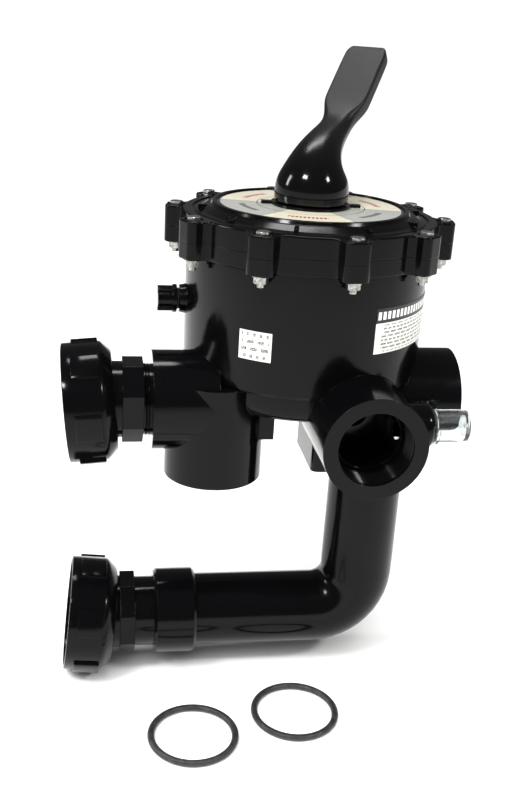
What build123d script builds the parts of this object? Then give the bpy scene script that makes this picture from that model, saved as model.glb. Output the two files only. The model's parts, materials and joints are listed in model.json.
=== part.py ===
from build123d import *
import math
import os

# Side-mount six-position multiport valve for a pool filter, in millimetres.
# It is modelled about the valve's own axis: Z up along the selector stem, z = 0 on top of the cover's lugs,
# the front port towards -Y and the two filter unions towards -X. On export everything is moved so that
# the origin is the centre of the upper tailpiece's sealing face.

# ---------------------------------------------------------------- driving dimensions
clearance = 0.08          # radial running clearance of the stem in its bores
plate_gap = 0.3           # gap between parts that slide over each other
seat_gap = 0.3            # gap between the rotor and its gasket at rest

# body and cover
body_r = 102.0            # outside of the body shell
body_wall = 6.0
flange_step = 4.0         # round part of both bolting flanges, out from the shell
lug_count = 10
bolt_out = 10.0           # bolt circle, out from the shell
lug_edge = 9.0            # bolt axis to a lug's outer face
lug_width = 22.0
lug_phase = -11.3         # turn of the lug pattern from the front port
parting_z = -17.0         # where cover and body flanges meet
flange_bottom_z = -31.0
body_edge_z = -131.0      # where the straight shell ends
floor_z = -156.0
floor_corner = 15.0       # rounding of the floor's edge
casing_inset = 7.0        # lower casing, in from the shell
cover_seal_inset = 1.8    # middle of the cover seal, in from the shell's outside
cover_seal_section = 4.0

# fasteners, M6
bolt_r = 3.0
bolt_slack = 0.3
bolt_head_rim = 2.0       # head and nut flats, out from the bolt on each side
bolt_head_height = 3.6
bolt_recess = 2.4         # depth of the seat that each head sits in
nut_height = 5.0
washer_rim = 4.0
washer_height = 1.2
bolt_tip = 3.0            # bolt end proud of its nut

# ports
port_bore_r = 30.0        # threaded bore of every 2 inch port
port_wall = 11.5
port_thread_depth = 25.0
passage_r = 26.0
port_z = -152.0
union_y = -40.0           # plane of both filter unions
tank_port_reach = 29.5    # out from the shell
stub_x = -77.8            # downward port on the left
stub_bottom_z = -217.0
front_port_x = 33.0
front_port_reach = 48.0   # out from the shell
right_port_reach = 26.0
right_port_y = -28.0
stub_web_x = -30.0        # web between the downward port and the body
stub_web_z = -180.0
riser_x = 59.0            # axis of the lower pipe's vertical leg
riser_block_left_x = 1.5
riser_block_bottom_z = -204.0
riser_socket_wall = 6.5
riser_socket_z = -208.0
riser_socket_depth = 22.0

# filter unions
union_spacing = 203.2     # height between the two union axes
tail_reach = 62.5         # sealing face of both tailpieces, out from the tank port
tail_flange_slack = 4.3   # flange inside the nut's thread
tail_flange_length = 7.0
tail_neck_r = 31.8
tail_bore_r = 25.4
tail_thread_slack = 0.4   # male thread in the port's bore
hex_flats = 65.8
hex_from_face = 38.5
upper_hex_gap = 7.0       # to the tank port's face
lower_hex_length = 13.0
nut_length = 40.0
nut_wall = 2.9            # barrel outside its thread
nut_pad_height = 2.5      # grip pads proud of the barrel
nut_thread_r = 46.6
nut_hole_slack = 5.2      # around the tailpiece's neck
nut_back_wall = 8.0
nut_mouth_from_face = 7.0
nut_pad_count = 6
nut_pad_angle = 25.0
nut_pad_length = 21.0
upper_nut_tilt = 5.0      # the loose nuts hang a little out of square
lower_nut_tilt = -5.5
upper_nut_drop = 1.8
lower_nut_drop = 0.8

# lower pipe
pipe_r = 32.0
pipe_wall = 5.0
elbow_inner_r = 8.0       # radius of the elbow's inner corner
collar_wall = 5.4
collar_gap = 16.8         # to the lower tailpiece's octagon
collar_length = 36.7

# selector
rotor_slack = 10.0        # between the rotor and the shell's inside
rotor_height = 20.0
deck_top_z = -128.0
deck_height = 6.0
gasket_width = 4.0
gasket_height = 4.0
gasket_groove = 2.5
gasket_inset = 4.0        # rim ring, in from the rotor's edge
gasket_hub_r = 18.0
chamber_inset = 4.0       # chambers under the deck, in from the gasket's rim ring
window_inset = 8.0        # deck windows, the same way
stem_r = 11.0
stem_tongue_side = 3.6    # flat on each side, in from the stem
stem_tongue_end = 2.5     # the same at its round ends
spring_slack = 11.0       # spring's middle line, out from the stem
spring_wire = 4.5
spring_coils = 4.5
boss_wall = 16.0          # cover's inner boss around the stem
boss_bottom_z = -30.0
slip_washer_height = 2.0
lift = 8.0                # how far the handle raises the rotor
press_angle = 38.0        # how far the handle swings to do it

# top of the cover
dial_inset = 24.0         # dial, in from the shell
dial_hole_slack = 6.0     # dial to stem
dial_z = 5.0
dial_height = 0.8
cover_wall = 6.0
rim_ring_width = 4.0      # raised ring around the dial
rim_ring_top_z = 7.0
groove_inset = 3.0        # cover's groove, in from the shell
index_r = 30.0
wing_reach = 41.5
wing_width = 7.0
index_height = 2.0
wing_azimuth = 84.0       # of the pointer wings, from the front port towards +X

# handle
lean_azimuth = 146.0      # direction the lever leans, from the front port towards +X
lean_angle = 48.0         # from upright
bulb_r = 30.8
bulb_band = 10.0          # height of the straight band under the bulb's round top
cam_r = 22.0
cam_gap = 0.2             # handle to pointer plate
lever_length = 152.0      # from the pin to the end of the paddle
paddle_width = 38.0
paddle_thickness = 13.0
paddle_start = 88.0       # its lower shoulder, from the pin
neck_height = 52.0        # narrowest place, from the pin
neck_width = 21.0
neck_thickness = 18.0
pin_r = 4.0

# small fittings
gauge_z = -76.0
gauge_boss_r = 14.0
gauge_boss_reach = 5.5    # out from the shell
gauge_thread_r = 6.5
gauge_collar_r = 11.9
gauge_knob_r = 10.8
gauge_knob_length = 12.5
gauge_collar_length = 3.5
gauge_ring_section = 2.6
sight_y = -112.0
sight_z = -147.5
sight_r = 13.2
sight_wall = 2.0
sight_boss_r = 18.5
sight_boss_inset = 15.0   # boss end, in from the shell's radius
sight_length = 29.5       # glass proud of its boss
sight_thread_r = 11.5

# union rings lying loose beside the valve, on the plane under the lower nut
ring_r = 37.6             # outside
ring_section = 5.6
ring_places = [(-97.5, -151.0), (-8.1, -127.3)]

# ---------------------------------------------------------------- values that follow
flange_r = body_r + flange_step
lug_circle_r = body_r + bolt_out
lug_reach = lug_circle_r + lug_edge
casing_r = body_r - casing_inset
floor_r = casing_r - floor_corner
cover_seal_r = body_r - cover_seal_inset
bolt_hole_r = bolt_r + bolt_slack
washer_r = bolt_r + washer_rim
bolt_head_flats = 2 * (bolt_r + bolt_head_rim)
port_r = port_bore_r + port_wall
tank_port_x = -body_r - tank_port_reach
tail_face_x = tank_port_x - tail_reach
hex_start_x = tail_face_x + hex_from_face
upper_hex_end_x = tank_port_x - upper_hex_gap
lower_hex_end_x = hex_start_x + lower_hex_length
collar_left_x = lower_hex_end_x + collar_gap
collar_right_x = collar_left_x + collar_length
front_port_y = -body_r - front_port_reach
right_port_x = body_r + right_port_reach
riser_socket_r = pipe_r + riser_socket_wall
collar_r = pipe_r + collar_wall
tail_thread_r = port_bore_r - tail_thread_slack
tail_flange_r = nut_thread_r - tail_flange_slack
nut_r = nut_thread_r + nut_wall
nut_pad_r = nut_r + nut_pad_height
nut_hole_r = tail_neck_r + nut_hole_slack
rotor_r = body_r - body_wall - rotor_slack
gasket_ring_r = rotor_r - gasket_inset
chamber_r = gasket_ring_r - chamber_inset
window_r = gasket_ring_r - window_inset
stem_tongue_width = 2 * (stem_r - stem_tongue_side)
stem_tongue_length = 2 * (stem_r - stem_tongue_end)
boss_r = stem_r + boss_wall
spring_mean_r = stem_r + spring_slack
dial_r = body_r - dial_inset
dial_inner_r = stem_r + dial_hole_slack
rim_ring_r = dial_r + rim_ring_width
groove_r = body_r - groove_inset
gauge_boss_end = body_r + gauge_boss_reach
sight_boss_end = body_r - sight_boss_inset
sight_end = sight_boss_end + sight_length
lower_z = port_z - union_spacing
ground_z = lower_z - nut_pad_r - lower_nut_drop
plate_z = dial_z + dial_height + plate_gap + index_height
cam_offset = lift / (2 * math.sin(math.radians(press_angle / 2)))
pin_z = plate_z + cam_r - lift / 2
stem_shoulder_z = plate_z - index_height - lift - plate_gap
rotor_bottom_z = deck_top_z - gasket_groove + gasket_height + seat_gap
rotor_top_z = rotor_bottom_z + rotor_height
nut_mouth_x = tail_face_x - nut_mouth_from_face
valve_to_frame = Location((-tail_face_x, -union_y, -port_z))
lug_azimuths = [lug_phase + 18 + 36 * step for step in range(lug_count)]


# ---------------------------------------------------------------- helpers
def upright(radius, low, high, x=0.0, y=0.0):
    return Pos(x, y, (low + high) / 2) * Cylinder(radius, high - low)


def along_x(radius, low, high, y, z):
    return Pos((low + high) / 2, y, z) * Rot(0, 90, 0) * Cylinder(radius, high - low)


def along_y(radius, low, high, x, z):
    return Pos(x, (low + high) / 2, z) * Rot(90, 0, 0) * Cylinder(radius, high - low)


def block(x, y, z):
    """A box from three (low, high) pairs."""
    size = [high - low for low, high in (x, y, z)]
    middle = [(low + high) / 2 for low, high in (x, y, z)]
    return Pos(*middle) * Box(*size)


def heading(azimuth):
    """Unit vector of an azimuth counted from the front port (-Y) towards +X."""
    angle = math.radians(azimuth)
    return math.sin(angle), -math.cos(angle)


def around(azimuth, radius, z=0.0):
    x, y = heading(azimuth)
    return Pos(radius * x, radius * y, z) * Rot(0, 0, azimuth - 90)


def turned(points, arcs=()):
    """Solid of revolution about Z from (r, z) corners; arcs maps a corner index to a mid point."""
    lines = []
    for index, start in enumerate(points):
        end = points[(index + 1) % len(points)]
        if index in dict(arcs):
            lines.append(ThreePointArc(start, dict(arcs)[index], end))
        else:
            lines.append(Line(start, end))
    return revolve(Plane.XZ * make_face(lines), Axis.Z)


def sector(inner, outer, middle, width, low, high):
    """Pie piece between two radii, centred on an azimuth."""
    start, end = middle - width / 2, middle + width / 2
    corners = [(radius * heading(azimuth)[0], radius * heading(azimuth)[1])
               for radius, azimuth in ((inner, start), (outer, start), (outer, end), (inner, end))]
    rims = [(radius * heading(middle)[0], radius * heading(middle)[1]) for radius in (outer, inner)]
    outline = [Line(corners[0], corners[1]), ThreePointArc(corners[1], rims[0], corners[2]),
               Line(corners[2], corners[3]), ThreePointArc(corners[3], rims[1], corners[0])]
    return Pos(0, 0, low) * extrude(make_face(outline), high - low)


def lug_flange(low, high):
    """Round flange with bolting lugs, faired into the rim."""
    outline = Circle(flange_r)
    inner = flange_r - 12
    for azimuth in lug_azimuths:
        lug = Pos((inner + lug_reach) / 2, 0) * Rectangle(lug_reach - inner, lug_width)
        corners = lug.vertices().sort_by(Axis.X)[-2:]
        outline += Rot(0, 0, azimuth - 90) * fillet(corners, 6)
    roots = [v for v in outline.vertices() if abs(math.hypot(v.X, v.Y) - flange_r) < 0.2]
    return Pos(0, 0, low) * extrude(fillet(roots, 7), high - low)


def on_lugs(shape):
    """One copy of a shape on every bolt axis."""
    return [around(azimuth, lug_circle_r) * shape for azimuth in lug_azimuths]


def group(shapes):
    return Compound(children=list(shapes))


def torus_at(x, y, z, outside, section):
    return Pos(x, y, z) * Torus(outside - section / 2, section / 2)


# ---------------------------------------------------------------- body
def valve_body():
    corner = casing_r - floor_r
    middle = (casing_r - corner * (1 - math.sqrt(0.5)), floor_z + corner * (1 - math.sqrt(0.5)))
    shell = turned([(0, floor_z), (floor_r, floor_z), (casing_r, floor_z + corner), (casing_r, body_edge_z - 1),
                    (body_r - 1.5, body_edge_z), (body_r, body_edge_z + 2.5), (body_r, flange_bottom_z),
                    (0, flange_bottom_z)], {1: middle})
    flange = lug_flange(flange_bottom_z, parting_z)
    flange = fillet(flange.faces().sort_by(Axis.Z)[0].edges(), 1.2)
    body = shell + flange
    body += along_x(port_r, tank_port_x, stub_x, union_y, port_z)
    body += upright(port_r, stub_bottom_z, body_edge_z, stub_x, union_y)
    body += block((stub_x, stub_web_x), (union_y - 22, union_y + 30), (stub_web_z, -150))
    body += along_y(port_r, front_port_y, -60, front_port_x, port_z)
    body += along_x(port_r, 60, right_port_x, right_port_y, port_z)
    riser = block((riser_block_left_x, riser_x + 40), (union_y - 36, union_y + 34),
                  (riser_block_bottom_z, -140))
    body += fillet(riser.edges().filter_by(Axis.Z), 6)
    body += upright(riser_socket_r, riser_socket_z, riser_block_bottom_z + 2, riser_x, union_y)
    sight_boss = along_x(sight_boss_r, front_port_x, sight_boss_end, sight_y, sight_z)
    body += fillet(sight_boss.faces().sort_by(Axis.X)[-1].edges(), 6)
    boss = Plane.YZ.offset(-gauge_boss_end)
    cone = loft([boss * Circle(gauge_boss_r - 2.5), Plane.YZ.offset(-(body_r - 6)) * Circle(gauge_boss_r)])
    body += Pos(0, 0, gauge_z) * cone

    # hollow above the deck, seal groove and bolt holes
    body -= upright(body_r - body_wall, deck_top_z, 0)
    seal_top = parting_z + 1
    body -= (upright(cover_seal_r + cover_seal_section / 2, parting_z - cover_seal_section * 0.8, seal_top)
             - upright(cover_seal_r - cover_seal_section / 2, parting_z - 8, seal_top))
    for hole in on_lugs(upright(bolt_hole_r, flange_bottom_z - 1, parting_z + 1)):
        body -= hole

    # gasket grooves, six deck windows and the chambers under them
    body -= gasket_shape(deck_top_z - gasket_groove, deck_top_z + 1, 0.0)
    for azimuth in chamber_azimuths():
        body -= sector(gasket_hub_r + 6, window_r, azimuth, 46, deck_top_z - deck_height - 1, deck_top_z + 1)
        body -= sector(gasket_hub_r + 1, chamber_r, azimuth, 52, floor_z + 5, deck_top_z - deck_height)

    # bores
    body -= along_x(port_bore_r, tank_port_x - 1, tank_port_x + port_thread_depth, union_y, port_z)
    body -= along_x(passage_r, tank_port_x, stub_x, union_y, port_z)
    body -= upright(port_bore_r, stub_bottom_z - 1, stub_bottom_z + port_thread_depth, stub_x, union_y)
    body -= upright(passage_r, stub_bottom_z, port_z + 6, stub_x, union_y)
    body -= along_y(port_bore_r, front_port_y - 1, front_port_y + port_thread_depth, front_port_x, port_z)
    body -= along_y(passage_r, front_port_y, -casing_r - 1, front_port_x, port_z)
    body -= along_y(12, -casing_r - 2, -60, front_port_x - 6, port_z + 10)
    body -= along_x(port_bore_r, right_port_x - port_thread_depth, right_port_x + 1, right_port_y, port_z)
    body -= along_x(passage_r, casing_r + 6, right_port_x, right_port_y, port_z)
    body -= block((casing_r - 11, casing_r + 7), (right_port_y - 14, right_port_y + 14),
                  (port_z - 10, deck_top_z + 1))
    socket_top_z = riser_socket_z + riser_socket_depth
    body -= upright(pipe_r + clearance, riser_socket_z - 1, socket_top_z, riser_x, union_y)
    body -= upright(passage_r, riser_socket_z, -150, riser_x, union_y)

    # threaded holes of the two small fittings
    body -= along_x(gauge_thread_r + clearance, -gauge_boss_end - 1, -body_r + body_wall + 2, 0, gauge_z)
    body -= along_x(sight_thread_r + clearance, front_port_x + 20, sight_boss_end + 1, sight_y, sight_z)
    return body


def chamber_azimuths():
    """Middle of each of the six chambers; one lies over the downward port."""
    first = math.degrees(math.atan2(stub_x, -union_y))
    return [first + 60 * step for step in range(6)]


def gasket_shape(low, high, slack):
    """Hub ring, rim ring and six spokes."""
    half = gasket_width / 2 - slack
    shape = upright(gasket_ring_r + half, low, high) - upright(gasket_ring_r - half, low - 1, high + 1)
    shape += upright(gasket_hub_r + half, low, high) - upright(gasket_hub_r - half, low - 1, high + 1)
    for azimuth in chamber_azimuths():
        bar = block((gasket_hub_r, gasket_ring_r), (-half, half), (low, high))
        shape += Rot(0, 0, azimuth + 30 - 90) * bar
    return shape


def spider_gasket():
    low = deck_top_z - gasket_groove
    return gasket_shape(low, low + gasket_height, 0.05)


# ---------------------------------------------------------------- cover
def cover():
    plate = lug_flange(parting_z, 0)
    plate = fillet(plate.faces().sort_by(Axis.Z)[-1].edges(), 1.5)
    plate -= upright(groove_r, -1.2, 1)
    plate -= upright(body_r - body_wall - 1, parting_z - 1, parting_z + 7)
    top = turned([(0, -8), (groove_r - 2.5, -8), (groove_r - 2.5, -0.4), (rim_ring_r + 10, 0.6),
                  (rim_ring_r + 4, 4.2), (rim_ring_r + 1.5, 4.2), (rim_ring_r, rim_ring_top_z),
                  (dial_r + 0.6, rim_ring_top_z), (dial_r + 0.3, dial_z), (0, dial_z)])
    shape = plate + top
    shape -= upright(dial_r + 4, parting_z - 1, dial_z - cover_wall)
    shape += upright(boss_r, boss_bottom_z, dial_z - 1)
    for step in range(lug_count):
        rib = block((boss_r - 2, body_r - body_wall - 2), (-1.5, 1.5), (parting_z + 1, dial_z - 1))
        shape += Rot(0, 0, 36 * step) * rib
    shape -= upright(stem_r + clearance, boss_bottom_z - 1, dial_z + 1)
    for hole in on_lugs(upright(bolt_hole_r, parting_z - 1, 1) + upright(washer_r + 0.5, -bolt_recess, 1)):
        shape -= hole
    return shape


def cover_o_ring():
    return torus_at(0, 0, parting_z - cover_seal_section * 0.4, cover_seal_r + cover_seal_section / 2 - 0.4,
                    cover_seal_section * 0.8)


def hexagon(flats, low, high):
    """Hexagon with its corners turned off at both ends."""
    corner = flats / math.sqrt(3)
    prism = Pos(0, 0, low) * extrude(RegularPolygon(flats / 2, 6, major_radius=False), high - low)
    turning = turned([(0, low), (corner - 0.7, low), (corner, low + 0.5), (corner, high - 0.5),
                      (corner - 0.7, high), (0, high)])
    return prism & turning


def cover_bolts():
    head_low = washer_height - bolt_recess
    tip = flange_bottom_z - washer_height - nut_height - bolt_tip
    bolt = hexagon(bolt_head_flats, head_low, head_low + bolt_head_height)
    bolt += upright(bolt_r, tip, head_low + bolt_head_height / 2)
    return group(on_lugs(bolt))


def washers(low):
    ring = upright(washer_r, low, low + washer_height) - upright(bolt_hole_r, low - 1, low + washer_height + 1)
    return group(on_lugs(ring))


def cover_nuts():
    high = flange_bottom_z - washer_height
    nut = hexagon(bolt_head_flats, high - nut_height, high)
    nut -= upright(bolt_r + 0.01, high - nut_height - 1, high + 1)
    return group(on_lugs(nut))


def position_dial():
    dial = upright(dial_r, dial_z, dial_z + dial_height) - upright(dial_inner_r, dial_z - 1, dial_z + 2)
    return dial


# ---------------------------------------------------------------- selector
def in_lever_frame(shape):
    """Turns a shape made with +X as the leaning direction and the pin along Y into place."""
    return Pos(0, 0, pin_z) * Rot(0, 0, lean_azimuth - 90) * shape


def rotor():
    body = upright(rotor_r, rotor_bottom_z, rotor_bottom_z + 7)
    first = chamber_azimuths()[0]
    dome = sector(20, rotor_r - 6, first + 90, 172, rotor_bottom_z, rotor_top_z)
    body += dome + upright(30, rotor_bottom_z, rotor_top_z)
    body -= sector(24, rotor_r - 10, first + 90, 164, rotor_bottom_z - 1, rotor_top_z - 5)
    body -= sector(26, window_r, first - 60, 44, rotor_bottom_z - 1, rotor_bottom_z + 8)
    body += upright(24, rotor_bottom_z, rotor_top_z)
    return body


def stem():
    shaft = upright(stem_r, rotor_top_z, stem_shoulder_z)
    for z in stem_ring_heights():
        shaft -= upright(stem_r + 1, z - 1.6, z + 1.6) - upright(stem_r - 2.9, z - 1.6, z + 1.6)
    tongue = block((-stem_tongue_length / 2, stem_tongue_length / 2),
                   (-stem_tongue_width / 2, stem_tongue_width / 2), (stem_shoulder_z - pin_z, 0))
    tongue += Rot(90, 0, 0) * Cylinder(stem_tongue_length / 2, stem_tongue_width)
    tongue &= Cylinder(stem_r, 4 * pin_z)
    tongue -= Rot(90, 0, 0) * Cylinder(pin_r + 0.01, stem_tongue_width + 2)
    return shaft + in_lever_frame(tongue)


def stem_ring_heights():
    return [boss_bottom_z + 8, boss_bottom_z + 16]


def stem_o_rings():
    outside = stem_r - 0.05
    return group(torus_at(0, 0, z, outside, 2.8) for z in stem_ring_heights())


def rotor_spring():
    low = rotor_top_z + spring_wire / 2
    high = boss_bottom_z - slip_washer_height - spring_wire / 2
    pitch = (high - low) / spring_coils
    path = Pos(0, 0, low) * Helix(pitch, high - low, spring_mean_r)
    start = path @ 0
    section = Plane(origin=start, z_dir=path % 0) * Circle(spring_wire / 2 - 0.05)
    return sweep(section, path=path)


def slip_washer():
    low = boss_bottom_z - slip_washer_height
    return upright(boss_r - 1, low, boss_bottom_z) - upright(stem_r + 0.6, low - 1, boss_bottom_z + 1)


def pointer_plate():
    low = plate_z - index_height
    plate = upright(index_r + 3, low, plate_z)
    bar = block((-wing_reach, wing_reach), (-wing_width / 2, wing_width / 2), (low, plate_z))
    plate += Rot(0, 0, wing_azimuth - 90) * bar
    hole = block((-stem_tongue_length / 2 - clearance, stem_tongue_length / 2 + clearance),
                 (-stem_tongue_width / 2 - clearance, stem_tongue_width / 2 + clearance), (-60, 10))
    return plate - in_lever_frame(hole)


def handle():
    """Bulb with two cam cheeks and a flat paddle, in the lever's own frame with the pin at the origin."""
    bottom = plate_z - pin_z + cam_gap
    equator = bottom + bulb_band
    shoulder = bulb_r * math.cos(math.radians(45))
    dome = turned([(0, bottom), (bulb_r - 1, bottom), (bulb_r, bottom + 4), (bulb_r, equator),
                   (0, equator + bulb_r)], {3: (shoulder, equator + shoulder)})
    cam_x = cam_offset * math.cos(math.radians(press_angle / 2))
    cam_z = cam_offset * math.sin(math.radians(press_angle / 2))
    side = 2 * bulb_r + 4
    heel = Pos(cam_x, 0, cam_z) * Rot(90, 0, 0) * Cylinder(cam_r - cam_gap, side)
    heel += block((-side, cam_x), (-side, side), (bottom, side))
    heel += block((cam_x - 1, side), (-side, side), (cam_z, side))
    lever = dome & heel

    # neck and paddle: cross-sections across the lever's length
    lean = Rot(0, lean_angle, 0)
    sections = [(12, 40, 38), (30, 31, 29), (neck_height, neck_width, neck_thickness),
                (paddle_start, paddle_width - 1, paddle_thickness),
                (lever_length - 6, paddle_width, paddle_thickness),
                (lever_length, paddle_width - 8, paddle_thickness - 4)]
    outlines = []
    for height, width, thickness in sections:
        outline = RectangleRounded(thickness, width, min(thickness, width) * 0.3)
        outlines.append(lean * Pos(0, 0, height) * outline)
    lever += loft(outlines, ruled=True)

    half = stem_tongue_width / 2 + 0.5
    reach = 90.0
    radius = stem_tongue_length / 2 + 0.7
    turn = math.radians(press_angle)
    corner = (radius * math.cos(turn), radius * math.sin(turn))
    far = (corner[0] + reach * math.sin(turn), corner[1] - reach * math.cos(turn))
    slot = make_face(Polyline((-radius, 0), (-radius, -reach), far, corner, (0, 0), close=True))
    lever -= Pos(0, half, 0) * extrude(Plane.XZ * slot, 2 * half)
    lever -= Rot(90, 0, 0) * Cylinder(radius, 2 * half)
    lever -= Rot(90, 0, 0) * Cylinder(pin_r + clearance, 2 * bulb_r + 10)
    return in_lever_frame(lever)


def handle_pin():
    pin = Rot(90, 0, 0) * Cylinder(pin_r, 2 * bulb_r - 12)
    return in_lever_frame(pin)


# ---------------------------------------------------------------- filter unions and lower pipe
def tailpiece(neck_end_x, hex_range, spigot, z):
    """Flanged tailpiece whose face takes the union ring; spigot is (radius, end x)."""
    hex_start, hex_end = hex_range
    face = tail_face_x
    part = along_x(tail_flange_r, face, face + tail_flange_length, union_y, z)
    part += along_x(tail_neck_r, face + tail_flange_length, neck_end_x, union_y, z)
    octagon = RegularPolygon(hex_flats / 2, 8, major_radius=False)
    flats = extrude(Plane.YZ.offset(hex_start) * Rot(0, 0, 22.5) * octagon, hex_end - hex_start)
    part += Pos(0, union_y, z) * flats
    part += along_x(spigot[0], hex_end, spigot[1], union_y, z)
    part -= along_x(tail_bore_r, face - 1, spigot[1] + 1, union_y, z)
    groove = (along_x(ring_r + 0.2, face - 1, face + ring_section * 0.7, union_y, z)
              - along_x(ring_r - ring_section - 0.2, face - 2, face + 10, union_y, z))
    return part - groove


def upper_tailpiece():
    spigot = (tail_thread_r, tank_port_x + port_thread_depth - 2)
    return tailpiece(hex_start_x, (hex_start_x, upper_hex_end_x), spigot, port_z)


def lower_tailpiece():
    spigot = (tail_neck_r - 1.2, collar_left_x + 14)
    return tailpiece(hex_start_x, (hex_start_x, lower_hex_end_x), spigot, lower_z)


def union_nut(tilt, drop, z):
    """Loose union nut: threaded mouth towards -X, inward shoulder at the back, raised grip pads."""
    length = nut_length
    blank = turned([(nut_hole_r, 0), (nut_r - 7, 0), (nut_r, 8), (nut_r, length - 1.5), (nut_r - 1.5, length),
                    (nut_thread_r, length), (nut_thread_r, nut_back_wall), (nut_hole_r, nut_back_wall)])
    for step in range(nut_pad_count):
        pad = sector(nut_r - 2, nut_pad_r, 60 * step + 30, nut_pad_angle,
                     length - 6 - nut_pad_length, length - 6)
        blank += pad
    # stood on its back: turn the mouth towards -X, then tilt about its middle
    placed = Pos(length / 2, 0, 0) * Rot(0, -90, 0) * blank
    placed = Rot(0, tilt, 0) * placed
    return Pos(nut_mouth_x + length / 2, union_y, z - drop) * placed


def upper_union_nut():
    return union_nut(-upper_nut_tilt, upper_nut_drop, port_z)


def lower_union_nut():
    return union_nut(-lower_nut_tilt, lower_nut_drop, lower_z)


def pipe_collar():
    collar = along_x(collar_r, collar_left_x, collar_right_x, union_y, lower_z)
    collar = chamfer(collar.edges().filter_by(GeomType.CIRCLE), 2.5)
    collar -= along_x(tail_neck_r - 1.2 + 0.02, collar_left_x - 1, collar_left_x + 16, union_y, lower_z)
    collar -= along_x(pipe_r, collar_left_x + 16, collar_right_x + 1, union_y, lower_z)
    return collar


def lower_pipe():
    """Horizontal leg, moulded elbow and vertical leg, hollow right through."""
    bend = pipe_r + elbow_inner_r
    start_x = collar_left_x + 16
    top_z = riser_socket_z + riser_socket_depth

    def leg_pair(radius):
        path = FilletPolyline((start_x, union_y, lower_z), (riser_x, union_y, lower_z),
                              (riser_x, union_y, top_z), radius=bend)
        section = Plane(origin=(start_x, union_y, lower_z), z_dir=(1, 0, 0)) * Circle(radius)
        return sweep(section, path=path)

    return leg_pair(pipe_r) - leg_pair(pipe_r - pipe_wall)


# ---------------------------------------------------------------- small fittings
def gauge_plug():
    collar_end = gauge_boss_end + gauge_ring_section * 0.8 + gauge_collar_length
    knob_end = collar_end + gauge_knob_length
    plug = along_x(gauge_thread_r, -collar_end, -body_r + body_wall + 3, 0, gauge_z)
    plug += along_x(gauge_collar_r, -collar_end, -(collar_end - gauge_collar_length), 0, gauge_z)
    knob = Circle(gauge_knob_r)
    for step in range(4):
        knob -= Rot(0, 0, 45 + 90 * step) * Pos(gauge_knob_r + 0.8, 0) * Circle(3.0)
    plug += Pos(-knob_end, 0, gauge_z) * Rot(0, 90, 0) * extrude(knob, gauge_knob_length)
    return plug


def gauge_plug_o_ring():
    ring = Torus(gauge_thread_r + 0.1 + gauge_ring_section / 2, gauge_ring_section / 2 * 0.8)
    x = -(gauge_boss_end + gauge_ring_section * 0.4)
    return Pos(x, 0, gauge_z) * Rot(0, 90, 0) * ring


def sight_glass():
    tube = along_x(sight_r, sight_boss_end + 2, sight_end, sight_y, sight_z)
    tube = fillet(tube.faces().sort_by(Axis.X)[-1].edges(), 1.0)
    tube += along_x(sight_r + 2, sight_boss_end + 2, sight_boss_end + 4, sight_y, sight_z)
    tube += along_x(sight_thread_r, front_port_x + 26, sight_boss_end + 3, sight_y, sight_z)
    tube -= along_x(sight_r - sight_wall - 2.5, front_port_x + 25, sight_end - 3, sight_y, sight_z)
    tube += along_x(1.6, sight_end - 1, sight_end + 0.5, sight_y, sight_z)
    return tube


def sight_glass_o_ring():
    ring = Torus(sight_thread_r + 0.1 + 1.3, 0.95)
    return Pos(sight_boss_end + 1.0, sight_y, sight_z) * Rot(0, 90, 0) * ring


def body_label(azimuth, arc, low, high):
    """Thin label that follows the curve of the body."""
    skin = sector(body_r, body_r + 0.3, azimuth, arc, low, high)
    return skin


def union_ring(x, y):
    return torus_at(x, y, ground_z + ring_section / 2, ring_r, ring_section)


parts = {
    "valve_body": valve_body(),
    "cover": cover(),
    "cover_o_ring": cover_o_ring(),
    "cover_bolts": cover_bolts(),
    "top_washers": washers(-bolt_recess),
    "bottom_washers": washers(flange_bottom_z - washer_height),
    "cover_nuts": cover_nuts(),
    "position_dial": position_dial(),
    "pointer_plate": pointer_plate(),
    "handle": handle(),
    "handle_pin": handle_pin(),
    "stem": stem(),
    "stem_o_rings": stem_o_rings(),
    "rotor": rotor(),
    "rotor_spring": rotor_spring(),
    "slip_washer": slip_washer(),
    "spider_gasket": spider_gasket(),
    "upper_tailpiece": upper_tailpiece(),
    "upper_union_nut": upper_union_nut(),
    "lower_pipe": lower_pipe(),
    "pipe_collar": pipe_collar(),
    "lower_tailpiece": lower_tailpiece(),
    "lower_union_nut": lower_union_nut(),
    "gauge_plug": gauge_plug(),
    "gauge_plug_o_ring": gauge_plug_o_ring(),
    "sight_glass": sight_glass(),
    "sight_glass_o_ring": sight_glass_o_ring(),
    "serial_label": body_label(-32.3, 15.5, -102.0, -78.5),
    "notice_label": body_label(49.0, 53.0, -94.0, -57.0),
    "union_ring_left": union_ring(*ring_places[0]),
    "union_ring_right": union_ring(*ring_places[1]),
}

os.makedirs("parts", exist_ok=True)
for name, shape in parts.items():
    placed = Compound([valve_to_frame * solid for solid in shape.solids()])
    placed.label = name
    export_step(placed, os.path.join("parts", name + ".step"))
    print(name, "volume", round(placed.volume, 1))
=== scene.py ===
"""Looks of a side-mount multiport valve: black mouldings, steel fasteners, printed dial, rubber rings."""

import json
import logging
import math
from dataclasses import dataclass
from enum import Enum
from typing import Iterable, Optional, Sequence

import bpy
from mathutils import Matrix, Vector


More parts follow.
